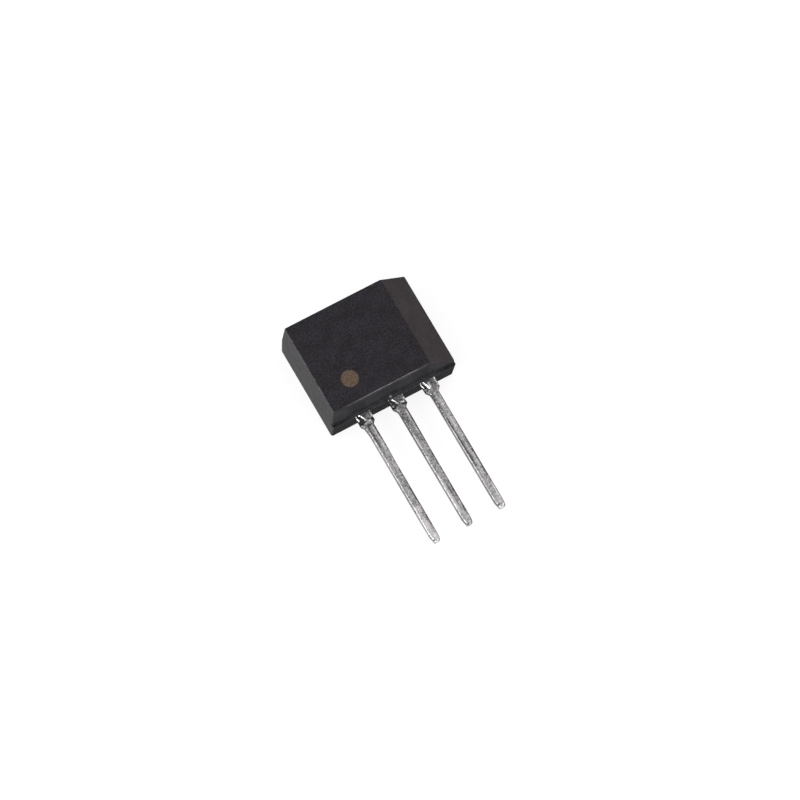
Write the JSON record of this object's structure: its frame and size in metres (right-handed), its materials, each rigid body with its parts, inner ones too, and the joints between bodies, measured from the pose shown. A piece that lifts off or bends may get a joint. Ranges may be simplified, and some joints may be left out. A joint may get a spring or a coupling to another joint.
{
  "type": "triac",
  "caption": "Small through-hole triac: a black moulded plastic block with one wide bevelled side and a row of straight tinned leads.",
  "frame": {"origin": "centre of the body's flat back face, with the middle lead on X = 0", "axes": "+Z out of the front face, leads along -Y, the wide bevel on the +X side; the part lies on its back"},
  "size_m": [0.0096, 0.0175, 0.0045],
  "materials": {
    "moulding": "matte",
    "leadframe": "satin",
    "solder": "satin",
    "silicon": "polished",
    "bond_wire": "satin"
  },
  "bodies": {
    "root": {"moulded_body": "moulding", "lead_a1": "leadframe", "lead_a2_pad": "leadframe", "lead_gate": "leadframe", "chip_solder": "solder", "triac_chip": "silicon", "a1_bond_wire": "bond_wire", "gate_bond_wire": "bond_wire"}
  },
  "joints": []
}
